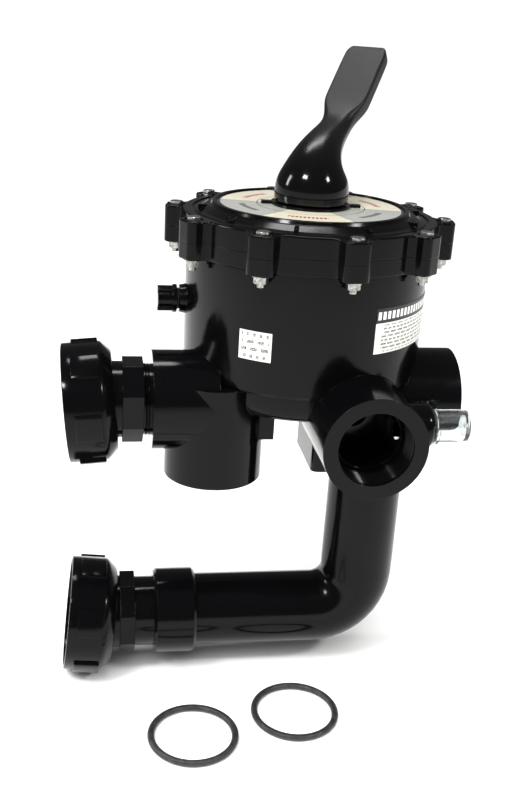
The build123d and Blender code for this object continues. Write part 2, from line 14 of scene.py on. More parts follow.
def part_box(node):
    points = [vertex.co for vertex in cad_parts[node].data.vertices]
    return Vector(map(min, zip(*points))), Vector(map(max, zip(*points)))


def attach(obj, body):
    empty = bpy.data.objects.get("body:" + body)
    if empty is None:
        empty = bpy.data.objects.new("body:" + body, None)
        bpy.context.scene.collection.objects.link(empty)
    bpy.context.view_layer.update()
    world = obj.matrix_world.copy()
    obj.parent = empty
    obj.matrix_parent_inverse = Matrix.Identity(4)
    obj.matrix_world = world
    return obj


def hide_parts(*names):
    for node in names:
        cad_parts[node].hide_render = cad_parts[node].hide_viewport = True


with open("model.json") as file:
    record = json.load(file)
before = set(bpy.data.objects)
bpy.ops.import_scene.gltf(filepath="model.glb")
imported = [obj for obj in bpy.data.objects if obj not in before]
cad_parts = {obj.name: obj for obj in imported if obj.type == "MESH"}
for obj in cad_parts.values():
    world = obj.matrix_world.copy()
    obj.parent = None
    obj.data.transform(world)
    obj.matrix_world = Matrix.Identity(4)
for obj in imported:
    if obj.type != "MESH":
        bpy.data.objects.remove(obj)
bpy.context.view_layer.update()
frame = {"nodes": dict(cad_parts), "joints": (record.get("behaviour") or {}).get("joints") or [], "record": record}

log = logging.getLogger("valve")
logging.basicConfig(level=logging.INFO, format="%(message)s")

MM = 0.001
Point = tuple[float, float, float]
Outline = Sequence[tuple[float, float]]


class Slot(Enum):
    """Names of the record's material slots that the new pieces match."""

    BLACK_ABS = "black_abs"
    GRAINED_ABS = "black_grained_abs"
    RUBBER = "grey_rubber"


@dataclass(frozen=True)
class Places:
    """Where the valve's main axes and faces are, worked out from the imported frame, in metres."""

    stem: Vector
    pin_z: float
    lean: float
    ground: float

    @classmethod
    def from_frame(cls) -> "Places":
        """Reads the axes from the joints and the faces from the nodes' boxes.

        Returns:
            The places that every sub-assembly is set out from.
        """
        joints = {joint["name"]: joint for joint in frame["joints"]}
        press = joints["handle_press"]
        return cls(
            stem=Vector(press["pos_m"]),
            pin_z=press["pos_m"][2],
            lean=math.atan2(-press["axis"][0], press["axis"][1]),
            ground=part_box("union_ring_left")[0][2],
        )


# ------------------------------------------------------------------ node helpers
def linear(code: str, alpha: float = 1.0) -> tuple[float, float, float, float]:
    """Turns an sRGB hex colour into linear light.

    Args:
        code: Six hex digits, such as "0B0B0C".
        alpha: Fourth channel.

    Returns:
        Linear red, green, blue and alpha.
    """
    channels = [int(code[place:place + 2], 16) / 255 for place in (0, 2, 4)]
    light = [c / 12.92 if c <= 0.04045 else ((c + 0.055) / 1.055) ** 2.4 for c in channels]
    return light[0], light[1], light[2], alpha


def add(tree: bpy.types.NodeTree, kind: str, settings: Optional[dict] = None, **inputs) -> bpy.types.Node:
    """Adds one shader node.

    Args:
        tree: Node tree of a material.
        kind: Node type without its "ShaderNode" start.
        settings: Attributes of the node, such as {"operation": "SINE"}.
        **inputs: Socket values or links; "s0" is the first socket, other names are socket names
            with underscores for spaces.

    Returns:
        The new node.
    """
    node = tree.nodes.new("ShaderNode" + kind)
    for name, value in (settings or {}).items():
        setattr(node, name, value)
    for name, value in inputs.items():
        numbered = name[0] == "s" and name[1:].isdigit()
        socket = node.inputs[int(name[1:])] if numbered else node.inputs[name.replace("_", " ")]
        if isinstance(value, bpy.types.NodeSocket):
            tree.links.new(value, socket)
        else:
            socket.default_value = value
    return node


def ramp(tree: bpy.types.NodeTree, factor: bpy.types.NodeSocket, stops: Sequence[tuple[float, tuple]],
         steps: bool = False) -> bpy.types.NodeSocket:
    """Maps a factor to colours.

    Args:
        tree: Node tree of a material.
        factor: Socket that drives the ramp.
        stops: Positions and linear colours.
        steps: True for flat bands with hard edges.

    Returns:
        The colour socket.
    """
    node = add(tree, "ValToRGB", Fac=factor)
    scale = node.color_ramp
    scale.interpolation = "CONSTANT" if steps else "LINEAR"
    while len(scale.elements) < len(stops):
        scale.elements.new(0.5)
    for element, (position, colour) in zip(scale.elements, stops):
        element.position = position
        element.color = colour
    return node.outputs[0]


def new_material(name: str) -> tuple[bpy.types.Material, bpy.types.NodeTree, bpy.types.Node,
                                     bpy.types.NodeSocket]:
    """Starts a node material.

    Args:
        name: Plain name of material and process.

    Returns:
        The material, its tree, its Principled shader and the Object coordinate socket.
    """
    material = bpy.data.materials.new(name)
    material.use_nodes = True
    tree = material.node_tree
    shader = tree.nodes["Principled BSDF"]
    place = add(tree, "TexCoord").outputs["Object"]
    return material, tree, shader, place


def grit(tree: bpy.types.NodeTree, place: bpy.types.NodeSocket, size_mm: float, detail: float = 3.0,
         roughness: float = 0.55) -> bpy.types.NodeSocket:
    """Noise whose grains are about one real size.

    Args:
        tree: Node tree of a material.
        place: Coordinates in metres.
        size_mm: Grain width in millimetres.
        detail: Octaves of the noise.
        roughness: Strength of the finer octaves.

    Returns:
        The noise's factor socket.
    """
    noise = add(tree, "TexNoise", Vector=place, Scale=1 / (size_mm * MM), Detail=detail, Roughness=roughness)
    return noise.outputs["Fac"]


# ------------------------------------------------------------------ finishes
@dataclass(frozen=True)
class GlossMoulding:
    """Injection-moulded gloss ABS: near-black, wet highlights, faint flow marks and handling scuffs."""

    name: str = "gloss_abs_moulded"
    colour: str = "050506"
    scuff_colour: str = "0E0E10"
    roughness: float = 0.12
    sheen: float = 0.12
    flow_mm: float = 26.0
    orange_peel_mm: float = 3.2
    scuff_mm: float = 0.9
    edge_mm: float = 0.9

    def material(self) -> bpy.types.Material:
        """Builds the finish.

        Returns:
            The material.
        """
        material, tree, shader, place = new_material(self.name)
        flow = grit(tree, place, self.flow_mm, 4.0)
        scuffs = add(tree, "MapRange", Value=grit(tree, place, self.scuff_mm, 6.0, 0.7),
                     From_Min=0.56, From_Max=0.78).outputs[0]
        shade = add(tree, "Mix", {"data_type": "RGBA"}, Factor=scuffs, s6=linear(self.colour),
                    s7=linear(self.scuff_colour)).outputs[2]
        polish = add(tree, "MapRange", Value=flow, From_Min=0.3, From_Max=0.7,
                     To_Min=self.roughness * 0.75, To_Max=self.roughness * 1.5).outputs[0]
        worn = add(tree, "Math", {"operation": "MULTIPLY_ADD"}, s0=scuffs, s1=0.16, s2=polish).outputs[0]
        soft_edge = add(tree, "Bevel", {"samples": 4}, Radius=self.edge_mm * MM).outputs[0]
        peel = add(tree, "Bump", Height=grit(tree, place, self.orange_peel_mm, 2.0), Strength=0.12,
                   Distance=0.00012, Normal=soft_edge).outputs[0]
        tree.links.new(shade, shader.inputs["Base Color"])
        tree.links.new(worn, shader.inputs["Roughness"])
        tree.links.new(peel, shader.inputs["Normal"])
        shader.inputs["IOR"].default_value = 1.53
        shader.inputs["Specular IOR Level"].default_value = self.sheen
        return material


@dataclass(frozen=True)
class GrainedMoulding:
    """ABS from an etched mould: a matte grip with fine pits that turns to gloss towards the lever's foot."""

    name: str = "grained_abs_moulded"
    colour: str = "060607"
    grain_colour: str = "1C1C1E"
    sheen: float = 0.2
    grain_mm: float = 0.55
    foot_z: float = 0.0
    fade: float = 0.05

    def material(self) -> bpy.types.Material:
        """Builds the finish.

        Returns:
            The material.
        """
        material, tree, shader, place = new_material(self.name)
        height = add(tree, "SeparateXYZ", s0=place).outputs["Z"]
        grip = add(tree, "MapRange", Value=height, From_Min=self.foot_z,
                   From_Max=self.foot_z + self.fade).outputs[0]
        # the etched grain is about 0.1 mm; it is drawn coarser so that it shows
        pits = grit(tree, place, self.grain_mm, 4.0, 0.7)
        speckle = add(tree, "MapRange", Value=pits, From_Min=0.42, From_Max=0.66).outputs[0]
        amount = add(tree, "Math", {"operation": "MULTIPLY"}, s0=speckle, s1=grip).outputs[0]
        shade = add(tree, "Mix", {"data_type": "RGBA"}, Factor=amount, s6=linear(self.colour),
                    s7=linear(self.grain_colour)).outputs[2]
        rough = add(tree, "MapRange", Value=grip, To_Min=0.1, To_Max=0.46).outputs[0]
        strength = add(tree, "MapRange", Value=grip, To_Min=0.03, To_Max=0.5).outputs[0]
        bump = add(tree, "Bump", Height=pits, Strength=strength, Distance=0.00025).outputs[0]
        tree.links.new(shade, shader.inputs["Base Color"])
        tree.links.new(rough, shader.inputs["Roughness"])
        tree.links.new(bump, shader.inputs["Normal"])
        shader.inputs["IOR"].default_value = 1.53
        shader.inputs["Specular IOR Level"].default_value = self.sheen
        return material


@dataclass(frozen=True)
class TurnedSteel:
    """Stainless steel fasteners, cold headed and tumbled: grey-white with dull patches and fine scratches."""

    name: str = "stainless_steel_tumbled"
    colour: str = "B9B9B4"
    dull_colour: str = "7E7D79"
    patch_mm: float = 2.4
    scratch_mm: float = 0.35

    def material(self) -> bpy.types.Material:
        """Builds the finish.

        Returns:
            The material.
        """
        material, tree, shader, place = new_material(self.name)
        patch = grit(tree, place, self.patch_mm, 4.0)
        shade = ramp(tree, patch, [(0.35, linear(self.dull_colour)), (0.62, linear(self.colour))])
        rough = add(tree, "MapRange", Value=patch, From_Min=0.3, From_Max=0.7,
                    To_Min=0.42, To_Max=0.22).outputs[0]
        soft_edge = add(tree, "Bevel", {"samples": 4}, Radius=0.0003).outputs[0]
        bump = add(tree, "Bump", Height=grit(tree, place, self.scratch_mm, 5.0, 0.8), Strength=0.25,
                   Distance=0.0001, Normal=soft_edge).outputs[0]
        tree.links.new(shade, shader.inputs["Base Color"])
        tree.links.new(rough, shader.inputs["Roughness"])
        tree.links.new(bump, shader.inputs["Normal"])
        shader.inputs["Metallic"].default_value = 1.0
        return material


@dataclass(frozen=True)
class MouldedRubber:
    """Compression-moulded nitrile rubber: dark grey, dry sheen, dusty bloom and a soft uneven skin."""

    name: str = "nitrile_rubber_moulded"
    colour: str = "1B1C1D"
    bloom_colour: str = "38393A"
    bloom_mm: float = 5.0
    skin_mm: float = 0.8

    def material(self) -> bpy.types.Material:
        """Builds the finish.

        Returns:
            The material.
        """
        material, tree, shader, place = new_material(self.name)
        shade = ramp(tree, grit(tree, place, self.bloom_mm, 5.0, 0.65),
                     [(0.4, linear(self.colour)), (0.75, linear(self.bloom_colour))])
        skin = grit(tree, place, self.skin_mm, 4.0, 0.6)
        rough = add(tree, "MapRange", Value=skin, From_Min=0.3, From_Max=0.7,
                    To_Min=0.38, To_Max=0.6).outputs[0]
        bump = add(tree, "Bump", Height=skin, Strength=0.2, Distance=0.0002).outputs[0]
        tree.links.new(shade, shader.inputs["Base Color"])
        tree.links.new(rough, shader.inputs["Roughness"])
        tree.links.new(bump, shader.inputs["Normal"])
        shader.inputs["IOR"].default_value = 1.52
        return material


@dataclass(frozen=True)
class ClearMoulding:
    """Clear moulded acrylic: glassy, with a faint grey tint and slight waviness from the mould."""

    name: str = "clear_acrylic_moulded"
    tint: str = "F1F4F4"
    wave_mm: float = 7.0

    def material(self) -> bpy.types.Material:
        """Builds the finish.

        Returns:
            The material.
        """
        material, tree, shader, place = new_material(self.name)
        wave = grit(tree, place, self.wave_mm, 2.0)
        shade = ramp(tree, wave, [(0.3, linear("E3E8E8")), (0.7, linear(self.tint))])
        bump = add(tree, "Bump", Height=wave, Strength=0.1, Distance=0.0004).outputs[0]
        rough = add(tree, "MapRange", Value=wave, To_Min=0.02, To_Max=0.08).outputs[0]
        tree.links.new(shade, shader.inputs["Base Color"])
        tree.links.new(rough, shader.inputs["Roughness"])
        tree.links.new(bump, shader.inputs["Normal"])
        shader.inputs["IOR"].default_value = 1.49
        shader.inputs["Transmission Weight"].default_value = 1.0
        return material


@dataclass(frozen=True)
class PrintedDial:
    """Screen-printed polyester dial: cream and silver-grey sectors, thin rules, bars for the names."""

    centre: Vector
    name: str = "polyester_dial_printed"
    cream: str = "DCD6C2"
    silver: str = "A9AAA4"
    ink: str = "16161A"
    red: str = "A03427"
    sectors: int = 6
    ring_mm: float = 45.0
    rule_mm: float = 0.7
    rim_mm: float = 75.5
    bar_mm: tuple[float, float] = (56.0, 61.0)
    # shares of one sector: turn of the first, half of a word, half of a rule between sectors
    phase: float = 0.22
    word_half: float = 0.26
    spoke_half: float = 0.007
    bars: float = 19.0
    bar_gap: float = 0.34

    def band(self, tree: bpy.types.NodeTree, value: bpy.types.NodeSocket, middle: float,
             half: float) -> bpy.types.NodeSocket:
        """Gives 1 where a value is within half a width of a middle, else 0."""
        return add(tree, "Math", {"operation": "COMPARE"}, s0=value, s1=middle, s2=half).outputs[0]

    def material(self) -> bpy.types.Material:
        """Builds the finish.

        Returns:
            The material.
        """
        material, tree, shader, place = new_material(self.name)
        centred = add(tree, "Mapping", Vector=place, Location=tuple(-self.centre)).outputs[0]
        axes = add(tree, "SeparateXYZ", s0=centred)
        turn = add(tree, "Math", {"operation": "ARCTAN2"}, s0=axes.outputs["Y"],
                   s1=axes.outputs["X"]).outputs[0]
        sector = add(tree, "Math", {"operation": "MULTIPLY_ADD"}, s0=turn, s1=self.sectors / math.tau,
                     s2=self.sectors + self.phase).outputs[0]
        within = add(tree, "Math", {"operation": "FRACT"}, s0=sector).outputs[0]
        pair = add(tree, "Math", {"operation": "FRACT"},
                   s0=add(tree, "Math", {"operation": "MULTIPLY"}, s0=sector, s1=0.5).outputs[0]).outputs[0]
        flat = add(tree, "CombineXYZ", X=axes.outputs["X"], Y=axes.outputs["Y"]).outputs[0]
        reach = add(tree, "VectorMath", {"operation": "LENGTH"}, s0=flat).outputs["Value"]
        fleck = grit(tree, place, 1.4, 4.0, 0.7)
        base = ramp(tree, pair, [(0.0, linear(self.cream)), (0.5, linear(self.silver))], steps=True)
        foil = add(tree, "Mix", {"data_type": "RGBA", "blend_type": "MULTIPLY"}, Factor=0.35, s6=base,
                   s7=ramp(tree, fleck, [(0.3, linear("C8C6BE")), (0.7, linear("FFFFFF"))])).outputs[2]
        # a word of each sector: a row of short bars
        spread = add(tree, "Math", {"operation": "MULTIPLY"}, s0=within, s1=self.bars).outputs[0]
        letters = add(tree, "Math", {"operation": "FRACT"}, s0=spread).outputs[0]
        gaps = add(tree, "Math", {"operation": "GREATER_THAN"}, s0=letters, s1=self.bar_gap).outputs[0]
        rows = self.band(tree, reach, sum(self.bar_mm) / 2 * MM, (self.bar_mm[1] - self.bar_mm[0]) / 2 * MM)
        middle = self.band(tree, within, 0.5, self.word_half)
        word = add(tree, "Math", {"operation": "MULTIPLY"}, s0=rows, s1=gaps).outputs[0]
        word = add(tree, "Math", {"operation": "MULTIPLY"}, s0=word, s1=middle).outputs[0]
        letter_ink = ramp(tree, pair, [(0.0, linear(self.red)), (0.5, linear(self.ink))], steps=True)
        worded = add(tree, "Mix", {"data_type": "RGBA"}, Factor=word, s6=foil, s7=letter_ink).outputs[2]
        ring = self.band(tree, reach, self.ring_mm * MM, self.rule_mm / 2 * MM)
        rim = add(tree, "Math", {"operation": "GREATER_THAN"}, s0=reach, s1=self.rim_mm * MM).outputs[0]
        spoke = self.band(tree, within, 0.0, self.spoke_half)
        marks = add(tree, "Math", {"operation": "MAXIMUM"}, s0=ring, s1=rim).outputs[0]
        marks = add(tree, "Math", {"operation": "MAXIMUM"}, s0=marks, s1=spoke).outputs[0]
        printed = add(tree, "Mix", {"data_type": "RGBA"}, Factor=marks, s6=worded,
                      s7=linear(self.ink)).outputs[2]
        rough = add(tree, "MapRange", Value=fleck, To_Min=0.14, To_Max=0.3).outputs[0]
        tree.links.new(printed, shader.inputs["Base Color"])
        tree.links.new(rough, shader.inputs["Roughness"])
        shader.inputs["Coat Weight"].default_value = 0.6
        shader.inputs["Coat Roughness"].default_value = 0.08
        return material


@dataclass(frozen=True)
class PrintedLabel:
    """Thermal-printed paper label on the round body: off-white with rows of broken dark bars."""

    node: str
    centre: Vector
    rows: int
    word_mm: float
    header: float = 0.0
    header_marks: float = 0.0
    body_r: float = 0.1025
    paper: str = "E9E8E3"
    ink: str = "2A2A2C"

    def material(self) -> bpy.types.Material:
        """Builds the finish from the label's own box, so that its rows fit the label.

        Returns:
            The material.
        """
        low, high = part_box(self.node)
        tall = high[2] - low[2]
        pitch = tall * (1 - self.header) / (self.rows + 1)
        material, tree, shader, place = new_material("paper_label_printed_" + self.node)
        centred = add(tree, "Mapping", Vector=place,
                      Location=(-self.centre.x, -self.centre.y, -low[2])).outputs[0]
        axes = add(tree, "SeparateXYZ", s0=centred)
        ahead = add(tree, "Math", {"operation": "MULTIPLY"}, s0=axes.outputs["Y"], s1=-1.0).outputs[0]
        turn = add(tree, "Math", {"operation": "ARCTAN2"}, s0=axes.outputs["X"], s1=ahead).outputs[0]
        along = add(tree, "Math", {"operation": "MULTIPLY"}, s0=turn, s1=self.body_r).outputs[0]
        lined = add(tree, "CombineXYZ", X=along, Y=axes.outputs["Z"]).outputs[0]
        text = add(tree, "TexBrick", {"offset": 0.37, "squash": 0.62, "squash_frequency": 3},
                   Vector=lined, Scale=1.0, Mortar_Size=pitch * 0.26, Mortar_Smooth=0.0, Bias=0.0,
                   Brick_Width=self.word_mm * MM,
                   Row_Height=pitch, Color1=(0, 0, 0, 1), Color2=(0.3, 0.3, 0.3, 1), Mortar=(1, 1, 1, 1))
        # strokes of letters inside each word
        strokes = add(tree, "TexNoise", Vector=lined, Scale=1600.0, Detail=1.0).outputs["Fac"]
        broken = add(tree, "Math", {"operation": "GREATER_THAN"}, s0=strokes, s1=0.44).outputs[0]
        gap = add(tree, "Math", {"operation": "LESS_THAN"}, s0=text.outputs["Fac"], s1=0.5).outputs[0]
        inked = add(tree, "Math", {"operation": "MULTIPLY"}, s0=gap, s1=broken).outputs[0]
        edge = self.margin(tree, along, axes.outputs["Z"], low, high)
        inked = add(tree, "Math", {"operation": "MULTIPLY"}, s0=inked, s1=edge).outputs[0]
        paper = ramp(tree, grit(tree, place, 6.0, 4.0), [(0.3, linear("DCD9CF")), (0.6, linear(self.paper))])
        printed = add(tree, "Mix", {"data_type": "RGBA"}, Factor=inked, s6=paper,
                      s7=linear(self.ink)).outputs[2]
        if self.header:
            printed = self.headed(tree, printed, along, axes.outputs["Z"], tall)
        tree.links.new(printed, shader.inputs["Base Color"])
        rough = add(tree, "MapRange", Value=grit(tree, place, 1.0), To_Min=0.3, To_Max=0.5).outputs[0]
        tree.links.new(rough, shader.inputs["Roughness"])
        return material

    def margin(self, tree: bpy.types.NodeTree, along: bpy.types.NodeSocket, height: bpy.types.NodeSocket,
               low: Vector, high: Vector) -> bpy.types.NodeSocket:
        """Keeps the print off the label's upper and lower edges.

        Args:
            tree: Node tree of the label.
            along: Distance round the body.
            height: Height over the label's lower edge.
            low: Lowest corner of the label's box.
            high: Highest corner of the label's box.

        Returns:
            A factor of 1 on the printed field.
        """
        tall = high[2] - low[2]
        start, end = [math.asin((corner[0] - self.centre.x) / self.body_r) for corner in (low, high)]
        inside = add(tree, "Math", {"operation": "COMPARE"}, s0=height, s1=tall * (1 - self.header) / 2,
                     s2=tall * (1 - self.header) * 0.44).outputs[0]
        middle = (start + end) / 2 * self.body_r
        half = abs(end - start) * self.body_r * 0.43
        across = add(tree, "Math", {"operation": "COMPARE"}, s0=along, s1=middle, s2=half).outputs[0]
        return add(tree, "Math", {"operation": "MULTIPLY"}, s0=inside, s1=across).outputs[0]

    def headed(self, tree: bpy.types.NodeTree, printed: bpy.types.NodeSocket, along: bpy.types.NodeSocket,
               height: bpy.types.NodeSocket, tall: float) -> bpy.types.NodeSocket:
        """Adds a black heading strip with white bars along the label's top.

        Args:
            tree: Node tree of the label.
            printed: Colour of the rest of the label.
            along: Distance round the body.
            height: Height over the label's lower edge.
            tall: Height of the label.

        Returns:
            The colour with the heading.
        """
        strip_low = tall * (1 - self.header)
        strip = add(tree, "Math", {"operation": "GREATER_THAN"}, s0=height, s1=strip_low).outputs[0]
        spread = add(tree, "Math", {"operation": "DIVIDE"}, s0=along, s1=self.header_marks * MM).outputs[0]
        marks = add(tree, "Math", {"operation": "FRACT"}, s0=spread)
        bars = add(tree, "Math", {"operation": "GREATER_THAN"}, s0=marks.outputs[0], s1=0.36).outputs[0]
        tallness = add(tree, "Math", {"operation": "COMPARE"}, s0=height, s1=(strip_low + tall) / 2,
                       s2=(tall - strip_low) * 0.27).outputs[0]
        white = add(tree, "Math", {"operation": "MULTIPLY"}, s0=bars, s1=tallness).outputs[0]
        heading = add(tree, "Mix", {"data_type": "RGBA"}, Factor=white, s6=linear("0B0B0D"),
                      s7=linear("F2F2F0")).outputs[2]
        return add(tree, "Mix", {"data_type": "RGBA"}, Factor=strip, s6=printed, s7=heading).outputs[2]


@dataclass(frozen=True)
class SatinPlastic:
    """Machined or moulded satin plastic of the inner parts, with faint tool marks."""

    name: str
    colour: str
    mark_colour: str
    mark_mm: float = 0.8

    def material(self) -> bpy.types.Material:
        """Builds the finish.

        Returns:
            The material.
        """
        material, tree, shader, place = new_material(self.name)
        marks = grit(tree, place, self.mark_mm, 5.0, 0.65)
        shade = ramp(tree, marks, [(0.35, linear(self.colour)), (0.7, linear(self.mark_colour))])
        rough = add(tree, "MapRange", Value=marks, To_Min=0.28, To_Max=0.5).outputs[0]
        bump = add(tree, "Bump", Height=marks, Strength=0.15, Distance=0.0001).outputs[0]
        tree.links.new(shade, shader.inputs["Base Color"])
        tree.links.new(rough, shader.inputs["Roughness"])
        tree.links.new(bump, shader.inputs["Normal"])
        return material


# ------------------------------------------------------------------ modelling helpers
def deselect() -> None:
    """Leaves edit mode and deselects every object."""
    if bpy.context.mode != "OBJECT":
        bpy.ops.object.mode_set(mode="OBJECT")
    bpy.ops.object.select_all(action="DESELECT")


def start_piece(name: str) -> bpy.types.Object:
    """Starts a piece from a plane primitive whose face is deleted, and leaves it open in edit mode.

    Args:
        name: Name of the piece.

    Returns:
        The object, empty and in edit mode.
    """
    deselect()
    bpy.ops.mesh.primitive_plane_add(size=1)
    piece = bpy.context.active_object
    piece.name = name
    piece.data.name = name
    bpy.ops.object.mode_set(mode="EDIT")
    bpy.ops.mesh.select_all(action="SELECT")
    bpy.ops.mesh.delete(type="VERT")
    return piece


def close_piece(piece: bpy.types.Object, merge_mm: float = 0.005, outward: bool = True) -> None:
    """Merges doubles, turns the faces outwards and leaves edit mode.

    Args:
        piece: Object in edit mode.
        merge_mm: Distance under which vertices merge.
        outward: True to recalculate the normals.
    """
    bpy.ops.mesh.select_all(action="SELECT")
    bpy.ops.mesh.remove_doubles(threshold=merge_mm * MM)
    if outward:
        bpy.ops.mesh.normals_make_consistent(inside=False)
    bpy.ops.object.mode_set(mode="OBJECT")


def apply_modifier(piece: bpy.types.Object, kind: str, **settings) -> None:
    """Adds a modifier and applies it.

    Args:
        piece: Object to change.
        kind: Modifier type.
        **settings: Attributes of the modifier.
    """
    deselect()
    piece.select_set(True)
    bpy.context.view_layer.objects.active = piece
    modifier = piece.modifiers.new(kind.lower(), kind)
    for key, value in settings.items():
        setattr(modifier, key, value)
    bpy.ops.object.modifier_apply(modifier=modifier.name)


def apply_place(piece: bpy.types.Object, place: Matrix) -> None:
    """Moves a piece and applies the move to its mesh, so that its object sits at the origin."""
    piece.data.transform(place)
    piece.matrix_world = Matrix.Identity(4)


def facing(direction: Iterable[float], at: Vector) -> Matrix:
    """Matrix that takes a piece's own +Z to a direction and its origin to a point."""
    turn = Vector(tuple(direction)).to_track_quat("Z", "Y")
    return Matrix.Translation(at) @ turn.to_matrix().to_4x4()


def shade(piece: bpy.types.Object, angle: float = 32.0) -> None:
    """Shades a piece smooth, with its edges over an angle in degrees left sharp."""
    deselect()
    piece.select_set(True)
    bpy.context.view_layer.objects.active = piece
    bpy.ops.object.shade_smooth_by_angle(angle=math.radians(angle), keep_sharp_edges=False)


def spun(name: str, outline: Outline, steps: int) -> bpy.types.Object:
    """Turns an outline about +Z by extruding a vertex along it and spinning it once round.

    Args:
        name: Name of the piece.
        outline: Closed loop of (radius, height) corners in millimetres, without its first corner again.
        steps: Faces round the piece.

    Returns:
        The closed piece, in object mode, about the world's Z axis.
    """
    piece = start_piece(name)
    radius, height = outline[0]
    bpy.ops.mesh.primitive_plane_add(size=0.001, location=(radius * MM, 0, height * MM))
    bpy.ops.mesh.merge(type="CENTER")
    for before, after in zip(outline, [*outline[1:], outline[0]]):
        move = ((after[0] - before[0]) * MM, 0, (after[1] - before[1]) * MM)
        bpy.ops.mesh.extrude_region_move(TRANSFORM_OT_translate={"value": move})
    bpy.ops.mesh.select_all(action="SELECT")
    bpy.ops.mesh.remove_doubles(threshold=0.000002)
    bpy.ops.mesh.select_all(action="SELECT")
    bpy.ops.mesh.spin(steps=steps, angle=math.tau, center=(0, 0, 0), axis=(0, 0, 1))
    close_piece(piece)
    return piece


def arc(centre: tuple[float, float], radius: float, start: float, end: float,
        count: int) -> list[tuple[float, float]]:
    """Points of an arc in an outline, with angles in degrees from the radius axis."""
    angles = [math.radians(start + (end - start) * step / count) for step in range(count + 1)]
    return [(centre[0] + radius * math.cos(a), centre[1] + radius * math.sin(a)) for a in angles]


def finish_piece(piece: bpy.types.Object, material: bpy.types.Material, body: str, slot: Slot,
                 *nodes: str) -> None:
    """Dresses a piece, rides it on its body and hides the CAD nodes that it stands for.

    Args:
        piece: Object to finish.
        material: Its finish.
        body: Body that it moves with.
        slot: Material slot of the record; not used.
        *nodes: CAD nodes that it stands for.
    """
    piece.data.materials.clear()
    piece.data.materials.append(material)
    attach(piece, body)
    if nodes:
        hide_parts(*nodes)
    log.info("%s: %d faces on %s", piece.name, len(piece.data.polygons), body)


# ------------------------------------------------------------------ threads
@dataclass
class Thread:
    """Helical ridge on the wall of a bore or of a spigot, screwed from a three-cornered section."""

    name: str
    wall_r: float
    pitch: float
    length: float
    depth: float
    inside: bool = True
    steps: int = 72

    def build(self, place: Matrix) -> bpy.types.Object:
        """Screws the ridge.

        Args:
            place: Matrix from the thread's own frame, which starts at its origin and runs up +Z.

        Returns:
            The ridge as a closed piece.
        """
        piece = start_piece(self.name)
        bpy.ops.mesh.primitive_circle_add(vertices=3, radius=1, fill_type="NGON")
        bpy.ops.object.mode_set(mode="OBJECT")
        root = self.wall_r + (0.15 if self.inside else -0.15)
        crest = self.wall_r + (-self.depth if self.inside else self.depth)
        half = self.pitch * 0.44
        for vertex, (radius, height) in zip(piece.data.vertices, ((root, -half), (crest, 0), (root, half))):
            vertex.co = (radius * MM, 0, (height + half) * MM)
        apply_modifier(piece, "SCREW", axis="Z", angle=math.tau, screw_offset=self.pitch * MM,
                       iterations=max(1, int((self.length - self.pitch) / self.pitch)), steps=self.steps,
                       render_steps=self.steps, use_merge_vertices=False, use_normal_calculate=False)
        bpy.ops.object.mode_set(mode="EDIT")
        bpy.ops.mesh.select_all(action="SELECT")
        bpy.ops.mesh.remove_doubles(threshold=0.000001)
        bpy.ops.mesh.select_all(action="DESELECT")
        bpy.ops.mesh.select_mode(type="EDGE")
        bpy.ops.mesh.select_non_manifold()
        bpy.ops.mesh.edge_face_add()
        bpy.ops.mesh.select_mode(type="VERT")
        bpy.ops.mesh.select_all(action="SELECT")
        bpy.ops.mesh.normals_make_consistent(inside=False)
        bpy.ops.object.mode_set(mode="OBJECT")
        apply_place(piece, place)
        shade(piece, 40.0)
        return piece


